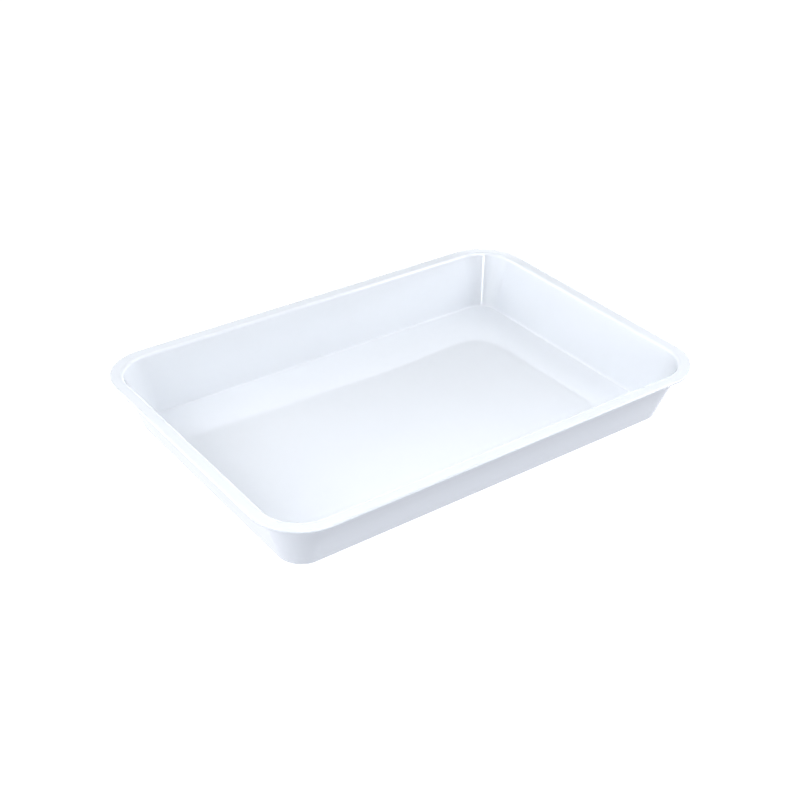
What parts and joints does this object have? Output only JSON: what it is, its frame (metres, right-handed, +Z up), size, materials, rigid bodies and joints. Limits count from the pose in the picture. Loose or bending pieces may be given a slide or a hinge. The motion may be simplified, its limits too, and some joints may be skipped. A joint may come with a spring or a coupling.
{
  "type": "paint tray",
  "caption": "Shallow one-piece rectangular basin with leaning walls, rounded corners, a level floor and an outward rim, in glossy white plastic.",
  "frame": {"origin": "middle of the base, on the surface the tray stands on", "axes": "+X along the long side, +Y along the short side, +Z up, out of the open top"},
  "size_m": [0.42, 0.288, 0.05],
  "materials": {
    "tray_plastic": "smooth glossy white moulded plastic with a faint cool tint"
  },
  "bodies": {
    "root": {"tray": "tray_plastic"}
  },
  "joints": []
}
